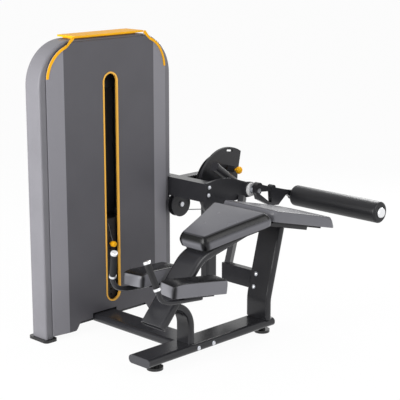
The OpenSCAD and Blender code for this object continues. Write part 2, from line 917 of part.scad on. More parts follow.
// Handles: bent bars under the elbow pads with upright grips between two collars

sleeve = 0.3;
grip_l = norm(grip_high - grip_low);
function on_side(p, side) = [p[0], bench_y - side * p[1], p[2]];

module along_grip(side) {
    p = on_side(grip_low, side);
    q = on_side(grip_high, side);
    d = q - p;
    translate(p) rotate([0, acos(d[2] / norm(d)), atan2(d[1], d[0])]) children();
}

module handle_bars() {
    color(frame_grey) for (side = [-1, 1])
        swept([for (p = bar_route) on_side(p, side)], bar_r, 16, 5, [0, 1, 0]);
}

module handle_grips() {
    color(black) for (side = [-1, 1]) along_grip(side) rotate_extrude() polygon([
        [bar_r + sleeve, 6], [15.5, 6], [16, 12], [15, grip_l / 2], [16, grip_l - 12], [15.5, grip_l - 6],
        [bar_r + sleeve, grip_l - 6]
    ]);
}

module grip_collars() {
    color(steel) for (side = [-1, 1]) along_grip(side) {
        rotate_extrude() polygon([
            [bar_r + sleeve, -8], [16, -8], [collar_r, -6], [collar_r, 5], [bar_r + sleeve, 5.8]
        ]);
        translate([0, 0, grip_l]) rotate_extrude() polygon([
            [bar_r + sleeve, -5.8], [collar_r, -5], [collar_r, collar_over], [15, 7.2], [0, 7.2], [0, 0.7],
            [bar_r + sleeve, 0.7]
        ]);
    }
}

// Pivot frame between the tower and the knee pivot

module outrigger() {
    side_x = tower_w / 2;
    front_y = hoop_front - 4;
    back_y = tower_y + 28;
    high = out_top - out_low;
    color(frame_grey) difference() {
        union() {
            translate([out_x0, plate_y, out_low]) cube([out_x1 - out_x0, front_y - plate_y, high]);
            translate([side_x, front_y - out_wall, out_low])
                cube([out_x1 - side_x, back_y - front_y + out_wall, high]);
        }
        translate([out_x0 + out_wall, plate_y - 1, out_low + out_wall])
            cube([out_x1 - out_x0 - 2 * out_wall, front_y - out_wall - plate_y + 1, high - 2 * out_wall]);
        translate([side_x + out_wall, front_y - 2 * out_wall, out_low + out_wall])
            cube([out_x1 - side_x - 2 * out_wall, back_y - front_y + out_wall, high - 2 * out_wall]);
        translate([guide_c[0] - guide_r, cable_y, out_low - 1]) cylinder(h = out_wall + 2, r = 5);
        translate([side_x - 1, tower_y, side_c[1] - side_r]) rotate([0, 90, 0])
            cylinder(h = out_wall + 2, r = cable_hole_r);
    }
}

module bridge_tube() {
    x1 = pivot_x - rear_w / 2;
    color(frame_grey) translate([out_x1, rear_y, out_low + 10 + bridge_h / 2]) rotate([90, 0, 90])
        linear_extrude(x1 - out_x1) tube2d(rear_d, bridge_h, 10);
}

module rear_post() {
    high = pivot_z + 62 - foot_h;
    color(frame_grey) difference() {
        translate([pivot_x, rear_y, foot_h]) linear_extrude(high) rounded2d(rear_w, rear_d, 12);
        translate([pivot_x, rear_y, foot_h - 1]) linear_extrude(high + 1 - wall)
            rounded2d(rear_w - 2 * wall, rear_d - 2 * wall, 12 - wall);
        y_rod([pivot_x, pivot_z], boss_r, rear_y - rear_d, rear_y + rear_d);
    }
}

module pivot_plate() {
    color(frame_grey) difference() {
        union() {
            y_plate(plate_y - plate_t, plate_y) polygon([
                [404, 602], [404, 722], [412, 730], [500, 739], [560, 736], [600, 731], [650, 715],
                [703, 694],
                [pivot_x, pivot_z + plate_end_r], [pivot_x, pivot_z - plate_end_r], [665, 606], [500, 602]
            ]);
            y_rod([pivot_x, pivot_z], plate_end_r, plate_y - plate_t, plate_y);
        }
        y_rod([pivot_x, pivot_z], boss_r - 4, plate_y - 2 * plate_t, plate_y + plate_t);
    }
}

// Flanged bearings: one pressed into the pivot plate, one through the rear post
module shaft_bearings() {
    color(steel) difference() {
        union() {
            y_rod([pivot_x, pivot_z], boss_r - 4, plate_y - plate_t, plate_y);
            y_rod([pivot_x, pivot_z], flange_r, plate_y - plate_t - 10, plate_y - plate_t);
            y_rod([pivot_x, pivot_z], boss_r, rear_y - rear_d / 2 - 4, rear_y + rear_d / 2 + 4);
        }
        y_rod([pivot_x, pivot_z], shaft_r + fit, plate_y - 60, rear_y + rear_d);
    }
}

// Round plates that hang the guide pulley under the outrigger
module pulley_cheeks() {
    cheek_t = 5;
    cheek_r = 68;
    color(frame_grey) for (y0 = [cable_y - 12 - cheek_t, cable_y + 12])
        y_plate(y0, y0 + cheek_t) difference() {
            translate(guide_c) circle(cheek_r);
            translate([guide_c[0] - cheek_r - 1, out_low]) square([2 * cheek_r + 2, cheek_r]);
            translate(guide_c) circle(8 + fit);
        }
}

// Straight run of cable from the guide pulley to the underside of the cam
pivot_c = [pivot_x, pivot_z];
run_d = pivot_c - guide_c;
run_a = atan2(run_d[1], run_d[0]) - asin((cam_r - guide_r) / norm(run_d));
run_n = [sin(run_a), -cos(run_a)];

module cam_cable() {
    color(steel) {
        cable_line([guide_c[0] - guide_r, guide_c[1]], [guide_c[0] - guide_r, out_low + 2], cable_y, lap);
        cable_wrap(guide_c, guide_r, 180, 270 + run_a, cable_y, bend_thin);
        cable_line(guide_c + guide_r * run_n, pivot_c + cam_r * run_n, cable_y, lap);
    }
}

// Parts that turn with the knee pivot

// Sector disc with the row of start-position holes
module adjuster_disc() {
    color(frame_grey) difference() {
        union() {
            y_plate(disc_y - disc_t / 2, disc_y + disc_t / 2) difference() {
                translate(pivot_c) circle(disc_r);
                translate(pivot_c) polygon([
                    [116, 300], [114, 167], [90, 50], [70, -300], [400, -300], [400, 300]
                ]);
                translate(pivot_c) rotate(-118) translate([20, 0]) square([300, 300]);
                translate(pivot_c + [26, 184]) rotate(-9) rounded2d(50, 11, 5);
            }
            y_rod(pivot_c, hub_r, disc_y - disc_t / 2 - 8, cable_y - 10);
        }
        y_rod(pivot_c, shaft_r + fit, disc_y - 60, disc_y + 120);
        for (a = [pin_angle - 2 * pin_step : pin_step : pin_angle + 2 * pin_step])
            y_rod(pivot_c + pin_ring * [cos(a), sin(a)], pin_r + clear, disc_y - disc_t, disc_y + disc_t);
    }
}

// Grooved sector that the lifting cable winds onto, with the clamp that holds the cable's end
module cable_cam() {
    rim = cam_r + 6;
    groove = cam_r - cable_r - clear;
    h = 10;
    clamp_a = 270 + run_a + 9;
    color(frame_grey) translate([pivot_x, cable_y, pivot_z]) rotate([90, 0, 0]) difference() {
        rotate_extrude() polygon([
            [hub_r + fit, -h], [rim, -h], [rim, -h + 3], [groove, -3.2], [groove, 3.2],
            [rim, h - 3], [rim, h], [hub_r + fit, h]
        ]);
        translate([0, 0, -h - 1]) linear_extrude(2 * h + 2) polygon([
            [50, -110], [50, 110], [260, 200], [260, -260], [90, -260]
        ]);
    }
    color(frame_grey) difference() {
        y_rod(pivot_c, hub_r + fit, cable_y - h, cable_y + h);
        y_rod(pivot_c, shaft_r + fit, cable_y - 20, cable_y + 20);
    }
    color(steel) translate([pivot_x, cable_y, pivot_z]) rotate([0, -clamp_a, 0])
        translate([cam_r + 5, -9, -11]) cube([14, 18, 22]);
}

module pivot_shaft() {
    color(steel) {
        y_rod(pivot_c, stub_r, arm_y - arm_t / 2 - 6, plate_y - plate_t - 12);
        y_rod(pivot_c, shaft_r, plate_y - plate_t - 12 - lap, rear_y + rear_d / 2 + 14);
        y_rod(pivot_c, shaft_r + 8, rear_y + rear_d / 2 + 4 + clear, rear_y + rear_d / 2 + 14);
    }
}

// Arm on the shaft with the balance tube and the pull pin's sleeve
module counterweight() {
    hub_y1 = disc_y - disc_t / 2 - 8 - clear;
    pin_c = pivot_c + pin_ring * [cos(pin_angle), sin(pin_angle)];
    way = [cos(weight_angle), sin(weight_angle)];
    color(frame_grey) difference() {
        union() {
            y_rod(pivot_c, 36, weight_y - 32, hub_y1);
            y_plate(hub_y1 - 14, hub_y1) {
                translate(pivot_c) rotate(pin_angle) translate([0, -17]) square([pin_ring, 34]);
                translate(pin_c) circle(17);
            }
            translate([pivot_x, weight_y, pivot_z]) rotate([0, 90 - weight_angle, 0]) {
                cylinder(h = weight_l - 10, r = 26);
                translate([0, 0, weight_l - 10]) cylinder(h = 10, r = 28);
            }
            y_rod(pin_c, 16, hub_y1 - 44, hub_y1 - 14);
        }
        y_rod(pivot_c, shaft_r + fit, weight_y - 60, hub_y1 + 10);
        y_rod(pin_c, pin_r + fit, hub_y1 - 60, hub_y1 + 10);
    }
}

module pull_pin() {
    hub_y1 = disc_y - disc_t / 2 - 8 - clear;
    pin_c = pivot_c + pin_ring * [cos(pin_angle), sin(pin_angle)];
    back = hub_y1 - 44 - pull_travel - 1;
    color(knob_yellow) {
        y_rod(pin_c, pin_r, back - 4, disc_y - disc_t / 2 - 2);
        translate([pin_c[0], back, pin_c[1]]) rotate([90, 0, 0]) rotate_extrude()
            polygon([[0, 0], [12, 0], [19, 6], [21, 14], [18, 22], [10, 27], [0, 28]]);
    }
}

// Lever: hub, upper bar with its knuckle, lower strap and the gusset before the roller's axle
module lever_arm() {
    end_c = [roller_x, roller_z];
    near_y = arm_y - arm_t / 2;
    far_y = arm_y + arm_t / 2;
    color(frame_grey) difference() {
        union() {
            y_plate(near_y, far_y) {
                translate(pivot_c) circle(24);
                translate(end_c) circle(26);
                polygon([
                    pivot_c + [0, 38], pivot_c + [104, 6], pivot_c + [240, -32], end_c + [0, 26],
                    end_c + [0, -26], pivot_c + [236, -58], pivot_c + [100, -18], pivot_c + [0, -6]
                ]);
                polygon([
                    pivot_c + [-20, -8], pivot_c + [14, -22], pivot_c + [88, -75], pivot_c + [164, -104],
                    pivot_c + [96, -98], pivot_c + [-4, -48]
                ]);
                polygon([
                    pivot_c + [100, -14], pivot_c + [236, -50], pivot_c + [164, -104], pivot_c + [107, -88]
                ]);
            }
            y_rod(pivot_c + [4, 20], 24, near_y - 3, far_y + 3);
            y_rod(pivot_c + [117, -2], 17, near_y - 4, far_y + 4);
        }
        y_rod(pivot_c, stub_r + fit, arm_y - 60, arm_y + 60);
        y_rod(end_c, axle_r + fit, arm_y - 60, arm_y + 60);
    }
}

module roller_axle() {
    color(steel) y_rod([roller_x, roller_z], axle_r, roller_near - 2, arm_y + arm_t / 2 + 6);
}

// Foam roller with rounded shoulders, free to turn on its axle
module roller_pad() {
    r = roller_dia / 2;
    shoulder = 12;
    core = r - shoulder;
    color(black) translate([roller_x, roller_far, roller_z]) rotate([90, 0, 0])
        rotate_extrude() polygon(concat(
            [[axle_r + fit, 0], [core, 0]],
            [for (a = [-80 : 20 : 0]) [core + shoulder * cos(a), shoulder * (1 + sin(a))]],
            [for (a = [0 : 20 : 80]) [core + shoulder * cos(a), roller_l - shoulder * (1 - sin(a))]],
            [[axle_r + fit, roller_l]]
        ));
}

// Pressed cap over the axle's near end
module roller_cap() {
    color(steel) translate([roller_x, roller_near, roller_z]) rotate([90, 0, 0]) rotate_extrude()
        polygon([
            [0, 2], [axle_r + fit, 2], [axle_r + fit, 1], [27, 1], [28, 3], [24, end_cap_t], [0, end_cap_t]
        ]);
}

placed() tower_hoop();
placed() hoop_feet();
placed() front_cover();
placed() rear_cover();
placed() slot_trim();
placed() top_cap();
placed() corner_trims();
placed() base_sill();
placed() top_beam();
placed() guide_rods();
placed() stack_bumpers();
placed() lower_plates();
placed() upper_plates();
placed() top_plate();
placed() selector_stem();
placed() selector_pin();
placed() pin_lanyard();
placed() lift_cable();
placed() top_pulley_left();
placed() top_pulley_right();
placed() side_pulley();
placed() pulley_brackets();
placed() pulley_axles();
placed() tower_cable();
placed() cross_beam();
placed() front_beam();
placed() beam_caps();
placed() beam_feet();
placed() frame_bolts();
placed() front_arch();
placed() bench_tube();
placed() right_post();
placed() side_brace();
placed() pad_boards();
placed() pad_rail();
placed() chest_pad();
placed() thigh_pad();
placed() near_elbow_pad();
placed() far_elbow_pad();
placed() elbow_brackets();
placed() handle_bars();
placed() handle_grips();
placed() grip_collars();
placed() outrigger();
placed() bridge_tube();
placed() rear_post();
placed() pivot_plate();
placed() shaft_bearings();
placed() pulley_cheeks();
placed() guide_pulley();
placed() cam_cable();
placed() adjuster_disc();
placed() cable_cam();
placed() pivot_shaft();
placed() counterweight();
placed() lever_arm();
placed() roller_axle();
placed() roller_pad();
placed() roller_cap();
placed() pull_pin();
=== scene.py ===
import math

import bpy
import numpy as np
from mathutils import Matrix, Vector


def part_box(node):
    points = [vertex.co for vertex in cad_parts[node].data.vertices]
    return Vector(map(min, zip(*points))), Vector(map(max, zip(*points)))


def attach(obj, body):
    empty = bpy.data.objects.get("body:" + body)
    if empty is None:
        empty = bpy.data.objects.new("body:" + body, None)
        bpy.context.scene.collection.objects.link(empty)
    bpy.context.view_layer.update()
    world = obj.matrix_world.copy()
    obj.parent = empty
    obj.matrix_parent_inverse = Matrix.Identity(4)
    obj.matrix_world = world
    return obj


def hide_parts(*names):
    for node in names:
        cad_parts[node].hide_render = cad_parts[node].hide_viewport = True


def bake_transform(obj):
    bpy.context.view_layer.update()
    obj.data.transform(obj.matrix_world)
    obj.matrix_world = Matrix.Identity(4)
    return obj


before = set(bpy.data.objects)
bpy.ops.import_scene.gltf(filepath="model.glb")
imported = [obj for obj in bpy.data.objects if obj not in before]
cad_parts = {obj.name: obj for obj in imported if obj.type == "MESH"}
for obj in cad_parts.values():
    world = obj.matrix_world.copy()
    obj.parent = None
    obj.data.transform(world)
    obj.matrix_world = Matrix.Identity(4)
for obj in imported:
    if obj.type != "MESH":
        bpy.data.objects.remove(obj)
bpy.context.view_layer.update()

# Studio. A white seamless floor and soft boxes stand round the machine, and the camera
# looks down on the bench's head end from the left, as a catalogue picture does.
mm = 0.001
tower_low, tower_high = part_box("tower_hoop")
tower_mid_x = (tower_low.x + tower_high.x) / 2
panel_front_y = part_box("front_cover")[0].y
camera_from_tower = (-4073.36, -4659.13, 2107.07)
camera_azimuth = -45.33
camera_elevation = 13.14
camera_reach = 100
photo_width_px = 400
focal_px = 1238.0
white = (1, 1, 1, 1)
paper_white = (0.9, 0.9, 0.9, 1)
floor_half = 30.0
world_fill = 0.46
floor_glow = 0.95


def from_tower(x, y, z):
    """Point given in mm from the tower's middle and its front panel, in the machine's frame in metres."""
    return Vector((tower_mid_x + x * mm, panel_front_y + y * mm, z * mm))


def to_linear(hex_colour):
    """Turns an sRGB hex colour into linear light: the low end is a straight line, the rest a 2.4 power."""
    s = np.array([int(hex_colour[i:i + 2], 16) for i in (1, 3, 5)]) / 255
    return (*np.where(s <= 0.04045, s / 12.92, ((s + 0.055) / 1.055) ** 2.4).tolist(), 1.0)


def add(tree, kind, settings=None, inputs=None):
    """Adds one node: settings are its own fields, inputs are values or the sockets linked to it."""
    node = tree.nodes.new(kind)
    for field, value in (settings or {}).items():
        setattr(node, field, value)
    for key, value in (inputs or {}).items():
        if isinstance(value, bpy.types.NodeSocket):
            tree.links.new(value, node.inputs[key])
        else:
            node.inputs[key].default_value = value
    return node


def maths(tree, operation, *values):
    """Adds one Math node on these values or sockets and gives its result."""
    return add(tree, "ShaderNodeMath", {"operation": operation}, dict(enumerate(values))).outputs[0]


def seen_directly(tree):
    """1 for rays that show the background itself: camera, glossy and transmission rays."""
    rays = add(tree, "ShaderNodeLightPath").outputs
    first = maths(tree, "MAXIMUM", rays["Is Camera Ray"], rays["Is Glossy Ray"])
    return maths(tree, "MAXIMUM", first, rays["Is Transmission Ray"])


def new_material(name):
    """Starts a material and gives it with its empty node tree."""
    made = bpy.data.materials.new(name)
    made.use_nodes = True
    made.node_tree.nodes.clear()
    return made, made.node_tree


camera = bpy.data.objects.new("camera", bpy.data.cameras.new("camera"))
bpy.context.scene.collection.objects.link(camera)
bpy.context.scene.camera = camera
turn = math.radians(camera_azimuth)
rise = math.radians(camera_elevation)
look = Vector((-math.sin(turn) * math.cos(rise), math.cos(turn) * math.cos(rise), -math.sin(rise)))
camera.location = from_tower(*camera_from_tower)
camera.rotation_mode = "QUATERNION"
camera.rotation_quaternion = look.to_track_quat("-Z", "Y")
camera.data.lens = focal_px * camera.data.sensor_width / photo_width_px
camera.data.clip_end = camera_reach

bpy.context.scene.view_settings.view_transform = "Standard"
world = bpy.data.worlds.new("studio_white")
bpy.context.scene.world = world
world.use_nodes = True
sky = world.node_tree
sky.nodes.clear()
lit = add(sky, "ShaderNodeBackground", None, {"Color": white, "Strength": world_fill})
shown = add(sky, "ShaderNodeBackground", None, {"Color": white, "Strength": 1.0})
either = add(sky, "ShaderNodeMixShader", None,
             {0: seen_directly(sky), 1: lit.outputs[0], 2: shown.outputs[0]})
add(sky, "ShaderNodeOutputWorld", None, {"Surface": either.outputs[0]})

# Soft boxes: name, place from the tower in mm, size in metres, power in watts.
soft_boxes = [
    ("key_left", (-4300, 200, 1900), 3.0, 240),
    ("front_fill", (900, -4300, 2700), 2.6, 75),
    ("rim_right", (3300, 500, 2300), 1.8, 70),
]
aim = from_tower(250, -300, 700)
for name, place, size, power in soft_boxes:
    lamp = bpy.data.objects.new(name, bpy.data.lights.new(name, "AREA"))
    lamp.data.shape = "DISK"
    lamp.data.size = size
    lamp.data.energy = power
    lamp.location = from_tower(*place)
    lamp.rotation_mode = "QUATERNION"
    lamp.rotation_quaternion = (aim - lamp.location).to_track_quat("-Z", "Y")
    bpy.context.scene.collection.objects.link(lamp)

floor_mesh = bpy.data.meshes.new("studio_floor")
floor_mesh.from_pydata(
    [(-floor_half, -floor_half, 0), (floor_half, -floor_half, 0),
     (floor_half, floor_half, 0), (-floor_half, floor_half, 0)], [], [(0, 1, 2, 3)])
floor = bpy.data.objects.new("studio_floor", floor_mesh)
bpy.context.scene.collection.objects.link(floor)
paper, sweep = new_material("white_paper_sweep")
matt = add(sweep, "ShaderNodeBsdfDiffuse", None, {"Color": paper_white})
glow = add(sweep, "ShaderNodeEmission", None, {"Color": white, "Strength": 1.0})
share = maths(sweep, "MULTIPLY", seen_directly(sweep), floor_glow)
both = add(sweep, "ShaderNodeMixShader", None, {0: share, 1: matt.outputs[0], 2: glow.outputs[0]})
add(sweep, "ShaderNodeOutputMaterial", None, {"Surface": both.outputs[0]})
floor_mesh.materials.append(paper)

# Lanyard. A thin braided polyester cord keeps the selector pin with the stack: it leaves the
# top plate's front face and goes down to the pin's knob. The real cord gives as the pin is drawn; here it is
# one fixed shape.
lanyard_radius = 1.6
lanyard_pitch = 5.0
lanyard_waves = 2
lanyard_steps = 5
lanyard_sides = 12
lanyard_route = [
    (-14, 19.3, 542.5), (-14, 13, 532.5), (-12, 7, 505), (-8, 2, 475), (-3, -1, 455), (0, -1, 450.25)
]


def smooth_route(points, steps):
    """Catmull-Rom curve: between two points a cubic whose ends lean along the points either side."""
    p = np.array(points, float)
    p = np.vstack([p[:1], p, p[-1:]])
    t = (np.arange(steps) / steps)[None, :, None]
    a, b, c, d = (p[i:len(p) - 3 + i, None, :] for i in range(4))
    curve = 0.5 * (2 * b + (c - a) * t + (2 * a - 5 * b + 4 * c - d) * t ** 2
                   + (3 * b - a - 3 * c + d) * t ** 3)
    return np.vstack([curve.reshape(-1, 3), p[-1:]])


def grid_faces(rows, columns):
    """Quads between neighbours of a grid of rows by columns whose last column joins the first."""
    i, j = np.meshgrid(np.arange(rows - 1), np.arange(columns), indexing="ij")
    k = (j + 1) % columns
    return np.stack([i * columns + j, i * columns + k, (i + 1) * columns + k, (i + 1) * columns + j],
                    -1).reshape(-1, 4)


def new_piece(name, points, faces, uv=None):
    """Makes a smooth-shaded mesh object at the origin from points in metres and lists of faces."""
    mesh = bpy.data.meshes.new(name)
    mesh.from_pydata(np.asarray(points).tolist(), [], [list(map(int, f)) for f in faces])
    mesh.polygons.foreach_set("use_smooth", np.ones(len(mesh.polygons), bool))
    if uv is not None:
        layer = mesh.uv_layers.new(name="around_along")
        corner = np.zeros(len(mesh.loops), np.int32)
        mesh.loops.foreach_get("vertex_index", corner)
        layer.data.foreach_set("uv", np.asarray(uv, np.float32)[corner].ravel())
    mesh.update()
    piece = bpy.data.objects.new(name, mesh)
    bpy.context.scene.collection.objects.link(piece)
    return piece


def tube_along(name, path, radius, sides):
    """Round tube: at each point of the path a ring stands square to the path's own direction, started from
    the side that is square to near_y as well. A flat face closes each end. UV is turns and metres."""
    near_y = (0.0, 1.0, 0.02)
    path = np.asarray(path, float)
    way = np.gradient(path, axis=0)
    way /= np.linalg.norm(way, axis=1, keepdims=True)
    side = np.cross(way, near_y)
    side /= np.linalg.norm(side, axis=1, keepdims=True)
    up = np.cross(way, side)
    angle = np.linspace(0, 2 * np.pi, sides, endpoint=False)
    rings = path[:, None] + radius * (np.cos(angle)[None, :, None] * side[:, None]
                                      + np.sin(angle)[None, :, None] * up[:, None])
    run = np.r_[0, np.cumsum(np.linalg.norm(np.diff(path, axis=0), axis=1))]
    uv = np.stack(np.broadcast_arrays(angle[None, :] / (2 * np.pi), run[:, None]), -1).reshape(-1, 2)
    last = (len(path) - 1) * sides
    caps = [list(range(sides)), list(range(last + sides - 1, last - 1, -1))]
    walls = grid_faces(len(path), sides)[:, ::-1].tolist()
    return new_piece(name, rings.reshape(-1, 3), walls + caps, uv)


def mix(tree, factor, low, high):
    """Adds one colour mix and gives its result: low where factor is 0, high where it is 1."""
    return add(tree, "ShaderNodeMix", {"data_type": "RGBA"},
               {"Factor": factor, "A": low, "B": high}).outputs["Result"]


def surface(tree, inputs, height=None, strength=0.0, depth_mm=0.0):
    """Ends a material in one Principled surface with these inputs, over a bump of this height and depth."""
    if height is not None:
        bump = add(tree, "ShaderNodeBump", None,
                   {"Strength": strength, "Distance": depth_mm * mm, "Height": height})
        inputs = {**inputs, "Normal": bump.outputs[0]}
    skin = add(tree, "ShaderNodeBsdfPrincipled", None, inputs)
    add(tree, "ShaderNodeOutputMaterial", None, {"Surface": skin.outputs[0]})


def braided_cord(name, hex_dark, hex_light):
    """Braided polyester: one sine leans forward round the cord and one back, and their product is a small
    diamond pattern, which lifts the strands and tints them from dark to light."""
    made, tree = new_material(name)
    place = add(tree, "ShaderNodeUVMap", {"uv_map": "around_along"})
    split = add(tree, "ShaderNodeSeparateXYZ", None, {0: place.outputs[0]})
    turns = maths(tree, "MULTIPLY", split.outputs[0], 2 * math.pi * lanyard_waves)
    along = maths(tree, "MULTIPLY", split.outputs[1], 2 * math.pi / (lanyard_pitch * mm))
    forward = maths(tree, "SINE", maths(tree, "ADD", turns, along))
    back = maths(tree, "SINE", maths(tree, "SUBTRACT", turns, along))
    weave = maths(tree, "MULTIPLY", forward, back)
    shade = add(tree, "ShaderNodeMapRange", None, {"Value": weave, "From Min": -1.0}).outputs[0]
    tint = mix(tree, shade, to_linear(hex_dark), to_linear(hex_light))
    surface(tree, {"Base Color": tint, "Roughness": 0.7}, shade, strength=0.4, depth_mm=0.4)
    return made


lanyard_path = [from_tower(*p) for p in smooth_route(lanyard_route, lanyard_steps)]
lanyard = tube_along("lanyard_cord", lanyard_path, lanyard_radius * mm, lanyard_sides)
lanyard.data.materials.append(braided_cord("braided_polyester_cord", "#2c2c30", "#7b7b80"))
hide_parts("pin_lanyard")
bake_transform(lanyard)

# Tower shell. The hoop is one flat-oval steel tube bent over the top, and the front and rear
# covers are folded sheet steel screwed between its legs. All are powder coated and baked.
cover_fold = 297


def noise(tree, place, size_mm, detail):
    """Adds one noise whose cells are about size_mm wide and gives its value."""
    return add(tree, "ShaderNodeTexNoise", None,
               {"Vector": place, "Scale": 1 / (size_mm * mm), "Detail": detail}).outputs[0]


def between(tree, value, low, high):
    """Maps a value from 0 to 1 onto low to high."""
    return add(tree, "ShaderNodeMapRange", None, {"Value": value, "To Min": low, "To Max": high}).outputs[0]


def shaded(hex_colour, share):
    """A colour with its linear light multiplied by share."""
    return (*(np.array(to_linear(hex_colour))[:3] * share), 1)


def powder_coat(name, hex_colour, roughness, peel_mm, gloss=0.3, hex_sides=None, sides_from=0.0):
    """Polyester powder baked on steel: a satin film with fine orange peel, a hair cloudy over a palm's
    width. Two noises: peel_mm gives the bump, the cloud gives tint and roughness. With hex_sides a second
    colour is masked off beyond sides_from metres either side of the tower's middle."""
    cloud_mm = 160
    tint_swing = 0.1
    rough_swing = 0.05
    made, tree = new_material(name)
    place = add(tree, "ShaderNodeTexCoord").outputs["Object"]
    cloud = noise(tree, place, cloud_mm, 3.0)
    peel = noise(tree, place, peel_mm, 2.0)
    tint = mix(tree, cloud, shaded(hex_colour, 1 - tint_swing), shaded(hex_colour, 1 + tint_swing))
    if hex_sides:
        split = add(tree, "ShaderNodeSeparateXYZ", None, {0: place})
        off_middle = maths(tree, "ABSOLUTE", maths(tree, "SUBTRACT", split.outputs[0], tower_mid_x))
        masked = maths(tree, "GREATER_THAN", off_middle, sides_from)
        tint = mix(tree, masked, tint, to_linear(hex_sides))
    rough = between(tree, cloud, roughness - rough_swing, roughness + rough_swing)
    surface(tree, {"Base Color": tint, "Roughness": rough, "Specular IOR Level": gloss},
            peel, strength=0.12, depth_mm=0.3)
    return made


def dress(material, *names):
    """Gives CAD nodes their finish."""
    for name in names:
        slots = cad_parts[name].data.materials
        slots.clear()
        slots.append(material)


dress(powder_coat("silver_grey_powder_coat", "#77767b", 0.4, 2.2), "tower_hoop")
dress(powder_coat("slate_and_silver_powder_coat", "#57565b", 0.42, 2.2, hex_sides="#85848a",
                  sides_from=cover_fold * mm), "front_cover", "rear_cover")


# Yellow trim. The slot's frame, the cap on top, the corner strips and the two pins are moulded
# in through-coloured ABS, so they are smooth with a soft gloss.
def moulded_plastic(name, hex_colour, roughness, grain_mm, gloss=0.3):
    """Moulded plastic: an even colour with a very slight flow mottling and a fine tool grain in the gloss."""
    flow_mm = 60
    rough_swing = 0.06
    made, tree = new_material(name)
    place = add(tree, "ShaderNodeTexCoord").outputs["Object"]
    flow = noise(tree, place, flow_mm, 2.0)
    grain = noise(tree, place, grain_mm, 1.0)
    tint = mix(tree, flow, shaded(hex_colour, 0.93), shaded(hex_colour, 1.05))
    rough = between(tree, grain, roughness - rough_swing, roughness + rough_swing)
    surface(tree, {"Base Color": tint, "Roughness": rough, "IOR": 1.53, "Specular IOR Level": gloss},
            grain, strength=0.08, depth_mm=0.2)
    return made


dress(moulded_plastic("amber_yellow_abs", "#f6ba4c", 0.4, 1.5), "slot_trim")
signal_yellow = moulded_plastic("signal_yellow_abs", "#f8b418", 0.45, 1.5, 0.12)
dress(signal_yellow, "top_cap", "corner_trims", "selector_pin", "pull_pin")


# Weight stack and cables. Cast plates painted black ride on two nitrided black rods, with a drilled
# steel stem down the middle, above rubber bumpers. Coated wire rope on nylon pulleys lifts them.
def plated_steel(name, hex_colour, roughness, brush_mm):
    """Ground and plated steel: bright metal whose gloss varies with fine marks from the grinding."""
    rough_share = 0.3
    made, tree = new_material(name)
    place = add(tree, "ShaderNodeTexCoord").outputs["Object"]
    marks = noise(tree, place, brush_mm, 3.0)
    rough = between(tree, marks, roughness * (1 - rough_share), roughness * (1 + rough_share))
    tint = mix(tree, marks, shaded(hex_colour, 0.94), to_linear(hex_colour))
    surface(tree, {"Base Color": tint, "Metallic": 1.0, "Roughness": rough})
    return made


zinc_plate = plated_steel("bright_zinc_plated_steel", "#d9dbe0", 0.28, 3)
wire_rope = plated_steel("coated_wire_rope", "#77787c", 0.45, 1.2)
black_rubber = moulded_plastic("black_moulded_rubber", "#161618", 0.55, 1.0)
dress(plated_steel("black_nitrided_steel", "#26272a", 0.3, 4), "guide_rods")
dress(zinc_plate, "selector_stem", "pulley_axles", "frame_bolts", "pivot_shaft", "roller_axle")
dress(powder_coat("black_stoved_cast_iron", "#17171a", 0.5, 4), "lower_plates", "upper_plates", "top_plate")
dress(wire_rope, "tower_cable", "cam_cable")
dress(moulded_plastic("black_nylon", "#1c1c1f", 0.45, 1.2),
      "top_pulley_left", "top_pulley_right", "side_pulley", "guide_pulley")
dress(black_rubber, "stack_bumpers")

# Lift cable. The coated wire rope stands straight between the stem's eye and the first pulley. In the machine
# its lower end rises with the stack and the stretch grows shorter; here it is one fixed tube at rest.
lift_knots = 40
lift_sides = 16
lift_low, lift_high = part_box("lift_cable")
lift_x = (lift_low.x + lift_high.x) / 2
lift_y = (lift_low.y + lift_high.y) / 2
lift_path = np.linspace((lift_x, lift_y, lift_low.z), (lift_x, lift_y, lift_high.z), lift_knots)
lift_run = tube_along("lift_cable_run", lift_path, (lift_high.x - lift_low.x) / 2, lift_sides)
lift_run.data.materials.append(wire_rope)
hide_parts("lift_cable")
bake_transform(lift_run)

# Steel frame. Welded rounded tubes and laser-cut plates carry the bench and the lever, all in one
# charcoal powder coat with a soft satin shine. The end caps, feet and bearing bushes are nylon.
charcoal = powder_coat("charcoal_powder_coat", "#29292c", 0.24, 2.0, 0.35)
dress(charcoal, "base_sill", "top_beam", "pulley_brackets", "cross_beam", "front_beam", "front_arch",
      "bench_tube", "right_post", "side_brace", "pad_rail", "elbow_brackets", "outrigger", "bridge_tube",
      "rear_post", "pivot_plate", "pulley_cheeks", "adjuster_disc", "cable_cam", "counterweight", "lever_arm")
dress(moulded_plastic("charcoal_nylon", "#3c3c40", 0.4, 1.2), "beam_caps")
dress(moulded_plastic("glossy_black_nylon", "#111113", 0.2, 1.2, 0.5), "hoop_feet", "beam_feet")
dress(moulded_plastic("white_nylon_bush", "#f0f0f1", 0.4, 1.5), "shaft_bearings")
dress(powder_coat("black_painted_plywood", "#151517", 0.6, 6), "pad_boards")

# Pads. Foam blocks on plywood, in a cover sewn from a top panel and a side band: the seams hold the
# cover down and the foam swells it between them, so the panels crown and the sides stand out.
bench_y = -630
pad_cell = 8.0
side_cell = 6
# Half width in mm of the painted shade on the pads' rounded head corners.
seam_half = 12.0
swell_limit = 6
chest_head = (-52, bench_y, 608)
chest_slope = -13.25
chest_size = (-15, 362, 72)
chest_half = (94, 194)
thigh_hip = (345, bench_y, 687)
thigh_slope = 14
thigh_size = (0, 460, 56)
thigh_half = (180, 180)
elbow_from_bench = (-330, 116, 458)
elbow_splay = 9.5
elbow_tilt = 5.5
elbow_size = (0, 312, 68)
elbow_half = (62, 62)


